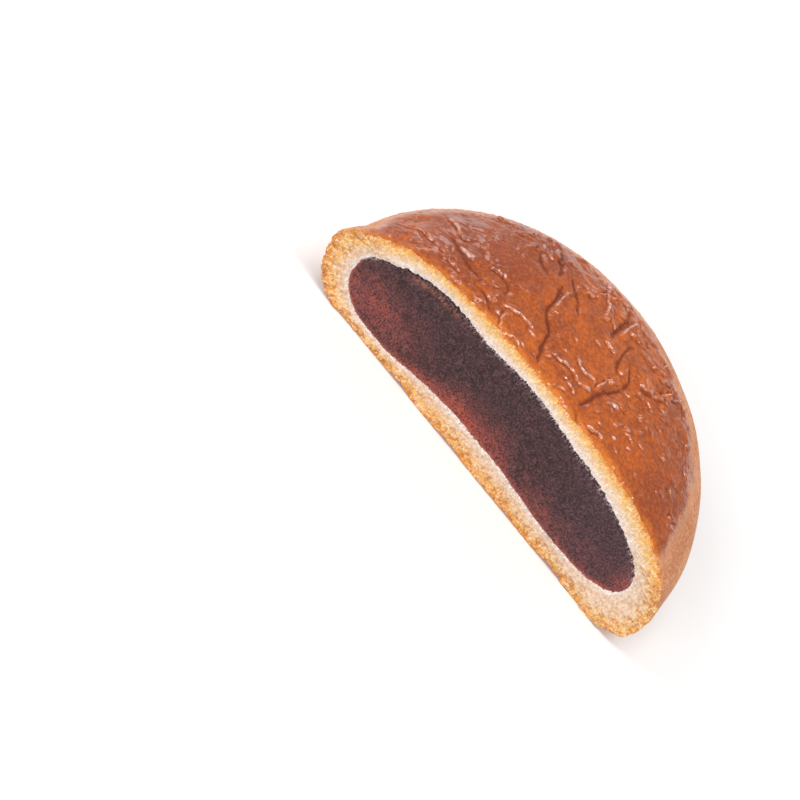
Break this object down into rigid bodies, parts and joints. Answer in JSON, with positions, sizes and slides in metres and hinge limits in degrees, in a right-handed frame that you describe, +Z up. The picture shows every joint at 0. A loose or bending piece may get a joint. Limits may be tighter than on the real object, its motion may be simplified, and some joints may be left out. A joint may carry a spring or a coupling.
{
  "type": "half of a filled bun",
  "caption": "Half of a round baked bun cut through the middle, with a wrinkled glossy top and a thick layer of dark red bean paste.",
  "frame": {"origin": "on the surface it rests on, under the middle of the footprint's bounding box", "axes": "+X along the cut, -Y is the way the cut face looks, +Z up"},
  "size_m": [0.096, 0.048, 0.0341],
  "materials": {
    "crust": "egg-washed glossy brown top, matte sides and base",
    "bean_paste": "dense, moist, finely grained dark red-brown paste"
  },
  "bodies": {
    "root": {"bread": "crust", "bean_paste": "bean_paste"}
  },
  "joints": []
}
